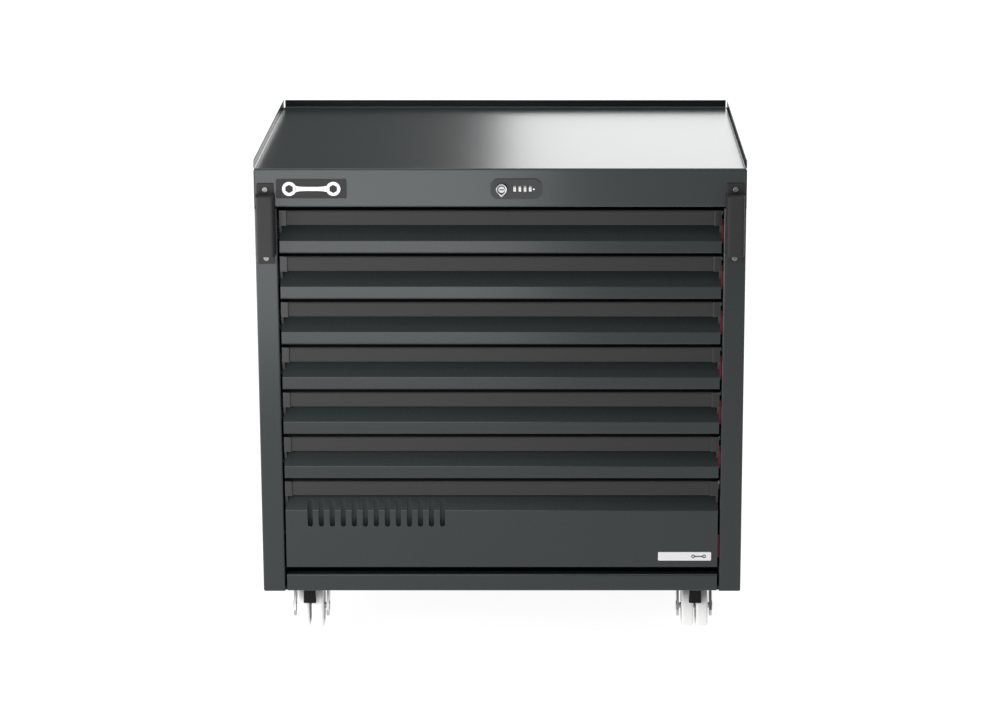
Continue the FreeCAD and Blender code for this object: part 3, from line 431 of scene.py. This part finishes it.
low, high = corners("corner_bumpers")
inside = high[0] - bumperLook["width"]
grids = [(bumperGrid(np.array([inside, low[1], low[2]]), high, bumperLook), False, True),
         (bumperGrid(low, np.array([-inside, high[1], high[2]]), bumperLook), False, True)]
piece = makePiece("rubber_bumpers", grids, "bumper_rubber", "root")
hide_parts("corner_bumpers")
print("bumpers moulded")


# lock barrel with its pear-shaped collar

collarLook = {
    "radius": 0.00985, "nubRadius": 0.0025, "nubReach": 0.0135, "bore": 0.00555, "shank": 0.008,
    "edge": 0.0011, "edgeSteps": 6, "cone": 0.0008, "coneWidth": 0.0004, "widest": 1.2, "steps": 96,
}


def pearRadius(turn, look):
    # distance from the middle to the rim: the disc's own radius, then the straight flank that touches
    # both circles, then the far side of the small circle below
    reach = look["nubReach"] - look["nubRadius"]
    fromDown = abs((turn + np.pi / 2 + np.pi) % (2 * np.pi) - np.pi)
    flank = math.acos((look["radius"] - look["nubRadius"]) / reach)
    straight = look["radius"] / np.cos(np.minimum(abs(fromDown - flank), look["widest"]))
    onSmall = reach * np.cos(fromDown)
    tip = onSmall + np.sqrt(np.maximum(look["nubRadius"] ** 2 - (reach * np.sin(fromDown)) ** 2, 0))
    touch = math.atan2(look["nubRadius"] * math.sin(flank), reach + look["nubRadius"] * math.cos(flank))
    return np.where(fromDown > flank, look["radius"], np.where(fromDown > touch, straight, tip))


def barrelGrid(centre, front, back, end, look):
    # a closed section in (share of the rim, y) carried round: from the bore out over the face to the
    # rim, back along the side, in to the shank and down it, and home through the bore
    turn = np.linspace(0, 2 * np.pi, look["steps"], endpoint=False)[None, :]
    rim = pearRadius(turn, look)
    bore, cone = look["bore"], look["cone"]
    rows = [(bore, front + cone), (bore + look["coneWidth"], front + cone / 2)]
    for a in np.linspace(0, np.pi / 2, look["edgeSteps"]):
        rows.append((rim - look["edge"] * (1 - math.sin(a)), front + look["edge"] * (1 - math.cos(a))))
    rows += [(rim, back), (look["shank"], back), (look["shank"], end), (bore, end)]
    radius = np.concatenate([r + 0 * rim for r, y in rows])
    y = np.concatenate([y + 0 * rim for r, y in rows])
    return np.stack([centre[0] + radius * np.cos(turn), y, centre[2] + radius * np.sin(turn)], axis=-1)


low, high = corners("lock_barrel")
plateY = corners("lock_plate")[0][1]
keyCentre = np.array([(low[0] + high[0]) / 2, low[1], high[2] - collarLook["radius"]])
grid = barrelGrid(keyCentre, low[1], plateY, high[1], collarLook)
piece = makePiece("lock_collar", [(grid, True, True)], "chrome", "root")
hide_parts("lock_barrel")


# pointer beside the code wheels, a low dome

pointerLook = {"x": 0.0574, "radius": 0.0017, "rise": 0.0006, "steps": 24, "rings": 8}
turn = np.linspace(0, 2 * np.pi, pointerLook["steps"], endpoint=False)[None, :]
ring = np.linspace(0, 1, pointerLook["rings"])[:, None]
# radius = r sin(q), rise = h cos(q), and a flat base behind
q = ring * np.pi / 2
domeX = pointerLook["x"] + pointerLook["radius"] * np.sin(q) * np.cos(turn)
domeY = plateY - pointerLook["rise"] * np.cos(q) + 0 * turn
domeZ = keyCentre[2] + pointerLook["radius"] * np.sin(q) * np.sin(turn)
dome = np.stack([domeX, domeY, domeZ], axis=-1)
base = dome[-1:].copy()
base[..., 0], base[..., 2] = pointerLook["x"], keyCentre[2]
makePiece("code_pointer", [(np.concatenate([dome, base]), False, True)], "mark_enamel", "root")


# digits on the code wheels

digitLook = {"size": 0.0036, "thickness": 0.00004, "curveSteps": 3, "flats": 10, "corner": 0.0066}


def digitMeshes(look):
    # points and faces of the ten digits, each centred on its own middle
    shapes = []
    for digit in range(10):
        curve = bpy.data.curves.new(f"digit{digit}", "FONT")
        curve.body = str(digit)
        curve.size = look["size"]
        curve.extrude = look["thickness"]
        curve.resolution_u = look["curveSteps"]
        holder = bpy.data.objects.new(f"digit{digit}", curve)
        scene.collection.objects.link(holder)
        bpy.context.view_layer.update()
        finished = holder.evaluated_get(bpy.context.evaluated_depsgraph_get())
        mesh = bpy.data.meshes.new_from_object(finished)
        points = np.empty(len(mesh.vertices) * 3)
        mesh.vertices.foreach_get("co", points)
        points = points.reshape(-1, 3)
        points -= (points.min(0) + points.max(0)) / 2
        shapes.append((points, [tuple(polygon.vertices) for polygon in mesh.polygons]))
        bpy.data.objects.remove(holder)
        bpy.data.curves.remove(curve)
        bpy.data.meshes.remove(mesh)
    return shapes


digits = digitMeshes(digitLook)
apothem = digitLook["corner"] * math.cos(math.pi / digitLook["flats"])
for number in range(1, 5):
    low, high = corners(f"code_wheel_{number}")
    centre = (low + high) / 2
    points, faces, start = [], [], 0
    for digit in range(10):
        shape, cells = digits[digit]
        angle = math.pi + digit * 2 * math.pi / digitLook["flats"]
        outward = np.array([0, math.cos(angle), math.sin(angle)])
        upward = np.array([0, math.sin(angle), -math.cos(angle)])
        placed = (centre + outward * apothem + shape[:, :1] * np.array([1, 0, 0])
                  + shape[:, 1:2] * upward + shape[:, 2:] * outward)
        points.append(placed)
        faces += [tuple(start + k for k in cell) for cell in cells]
        start += len(shape)
    mesh = bpy.data.meshes.new(f"code_digits_{number}")
    mesh.from_pydata(np.concatenate(points).tolist(), [], faces)
    mesh.validate()
    mesh.materials.append(finish["print_ink"])
    piece = bpy.data.objects.new(f"code_digits_{number}", mesh)
    scene.collection.objects.link(piece)
    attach(piece, f"code_wheel_{number}")
print("lock dressed")


# ring-spanner pictogram, pale on the badge and small and dark on the label

badgeMark = {
    "length": 0.100, "ring": 0.0122, "hexagon": 0.0064, "handle": 0.0043, "rise": 0.0006,
    "handleStart": 1.85, "waist": 0.8, "flare": 0.5, "ringRound": 0.12, "handleRound": 0.15,
    "ringSteps": 72, "handleSteps": 40,
}
labelMark = dict(badgeMark, length=0.026, ring=0.0032, hexagon=0.0016, handle=0.0011, rise=0.0002)
labelMarkInset = 0.022  # from the label's right-hand end to the middle of its mark


def ringGrid(x, z, back, mark):
    # a closed section (share from hexagon to circle, rise) carried round the ring: the inner edge is
    # the hexagon's flat distance over the cosine of the angle to the nearest flat
    turn = np.linspace(0, 2 * np.pi, mark["ringSteps"], endpoint=False)[None, :]
    inner = mark["hexagon"] / np.cos((turn + np.pi / 6) % (np.pi / 3) - np.pi / 6)
    rounds = [0, 0, mark["ringRound"], mark["ringRound"]]
    share, rise = roundedPath([(0, 0), (1, 0), (1, 1), (0, 1)], rounds).T[:, :, None]
    radius = inner + (mark["ring"] - inner) * share
    return np.stack([x + radius * np.cos(turn), back - mark["rise"] * rise + 0 * turn,
                     z + radius * np.sin(turn)], axis=-1)


def handleGrid(x, z, back, mark):
    # a closed section (across, rise) carried along: half width = waist + flare * |s|^4, where s runs
    # from -1 to 1 along the handle
    reach = mark["length"] / 2 - mark["ring"] * mark["handleStart"]
    s = np.linspace(-1, 1, mark["handleSteps"])[:, None]
    half = mark["handle"] * (mark["waist"] + mark["flare"] * s ** 4)
    rounds = [0, 0, mark["handleRound"], mark["handleRound"]]
    across, rise = roundedPath([(-1, 0), (1, 0), (1, 1), (-1, 1)], rounds).T[:, None, :]
    side = np.stack([x + s * reach + 0 * across, back - mark["rise"] * rise + 0 * s, z + half * across],
                    axis=-1)
    capStart, capEnd = side[:1].copy(), side[-1:].copy()
    for cap in (capStart, capEnd):
        cap[..., 1], cap[..., 2] = back, z
    return np.concatenate([capStart, side, capEnd])


def spanner(name, x, z, back, mark, material, body):
    reach = mark["length"] / 2 - mark["ring"]
    grids = [(ringGrid(x + way * reach, z, back, mark), True, True) for way in (-1, 1)]
    grids.append((handleGrid(x, z, back, mark), False, True))
    return makePiece(name, grids, material, body)


low, high = corners("badge_plate")
spanner("badge_spanner", (low[0] + high[0]) / 2, (low[2] + high[2]) / 2, low[1], badgeMark,
        "mark_enamel", "root")
low, high = corners("label_plate")
spanner("label_spanner", high[0] - labelMarkInset, (low[2] + high[2]) / 2, low[1], labelMark,
        "print_ink", "drawer_7")
print("badge and label marked")


# floor, lights and camera

def makeFloor(look):
    half, colour = look["half"], look["colour"]
    mesh = bpy.data.meshes.new("studio_floor")
    points = [(-half, -half, 0), (half, -half, 0), (half, half, 0), (-half, half, 0)]
    mesh.from_pydata(points, [], [(0, 1, 2, 3)])
    floor = bpy.data.objects.new("studio_floor", mesh)
    scene.collection.objects.link(floor)
    material = bpy.data.materials.new("studio_floor_finish")
    material.use_nodes = True
    tree = material.node_tree
    shader = tree.nodes["Principled BSDF"]
    place = addNode(tree, "TexCoord").outputs["Object"]
    clouds = addNode(tree, "TexNoise", {"Vector": place, "Scale": look["cloudScale"], "Detail": 2.0})
    clouded = [part * look["cloudShade"] for part in colour]
    tree.links.new(blendColour(tree, clouds.outputs["Fac"], colour, clouded), shader.inputs["Base Color"])
    # the light on the floor falls off in front of the chest
    ahead = addNode(tree, "SeparateXYZ", {"Vector": place}).outputs["Y"]
    lit = addNode(tree, "MapRange", {"Value": ahead, "From Min": look["fade"][0], "From Max": look["fade"][1],
                                     "To Min": look["dimmed"], "To Max": look["glow"]},
                  interpolation_type="SMOOTHSTEP")
    tree.links.new(lit.outputs["Result"], shader.inputs["Emission Strength"])
    shader.inputs["Roughness"].default_value = look["rough"]
    shader.inputs["Specular IOR Level"].default_value = 0.0
    shader.inputs["Emission Color"].default_value = (1, 1, 1, 1)
    mesh.materials.append(material)


def panelLight(name, panel):
    # an area light that fills the panel's own box. Its power is radiance * area * pi
    low, high = np.array([panel["x"], panel["y"], panel["z"]]).T
    span = high - low
    data = bpy.data.lights.new(name, "AREA")
    data.shape = "RECTANGLE"
    data.size, data.size_y = max(span[0], span[1]), span[2]
    data.energy = panel["radiance"] * data.size * data.size_y * math.pi
    light = bpy.data.objects.new(name, data)
    scene.collection.objects.link(light)
    light.location = (low + high) / 2
    light.rotation_euler = Vector(panel["facing"]).to_track_quat("-Z", "Y").to_euler()
    light.visible_camera = False


lightLook = {"sun": 2.3, "sunAngle": 60.0, "sky": 0.10}
floorLook = {
    "half": 60.0, "colour": (0.22, 0.22, 0.22), "glow": 0.93, "dimmed": 0.55, "fade": (-4.2, -1.2),
    "cloudScale": 0.4, "cloudShade": 0.98, "rough": 0.9,
}
# soft panels: a bright card in front, a wide panel far behind for the worktop's sheen, one at the left
panels = {
    "front_card": {"x": (-2.2, 0.07), "y": (-1.35, -1.35), "z": (0.27, 0.95), "facing": (0, 1, 0),
                   "radiance": 3.2},
    "rear_panel": {"x": (-0.156, 8.0), "y": (10.0, 10.0), "z": (0.2, 9.0), "facing": (0, -1, 0),
                   "radiance": 2.5},
    "left_panel": {"x": (-1.6, -1.6), "y": (-1.35, 0.30), "z": (0.10, 1.00), "facing": (1, 0, 0),
                   "radiance": 4.0},
}

makeFloor(floorLook)
sunData = bpy.data.lights.new("overhead", "SUN")
sunData.energy = lightLook["sun"]
sunData.angle = math.radians(lightLook["sunAngle"])
sun = bpy.data.objects.new("overhead", sunData)
scene.collection.objects.link(sun)
for name, panel in panels.items():
    panelLight(name, panel)

world = bpy.data.worlds.new("studio")
world.use_nodes = True
world.node_tree.nodes["Background"].inputs["Color"].default_value = (1, 1, 1, 1)
world.node_tree.nodes["Background"].inputs["Strength"].default_value = lightLook["sky"]
scene.world = world
scene.view_settings.view_transform = "Standard"

cameraLook = {"place": (0.08834, -5.44337, 1.84852), "pitch": 14.57, "lens": 110.16,
              "shift": (-0.0519, 0.0005)}
cameraData = bpy.data.cameras.new("camera")
cameraData.sensor_width = 36.0
cameraData.lens = cameraLook["lens"]
cameraData.shift_x, cameraData.shift_y = cameraLook["shift"]
camera = bpy.data.objects.new("camera", cameraData)
scene.collection.objects.link(camera)
camera.location = cameraLook["place"]
camera.rotation_euler = (math.radians(90 - cameraLook["pitch"]), 0, 0)
scene.camera = camera
print("studio lit")
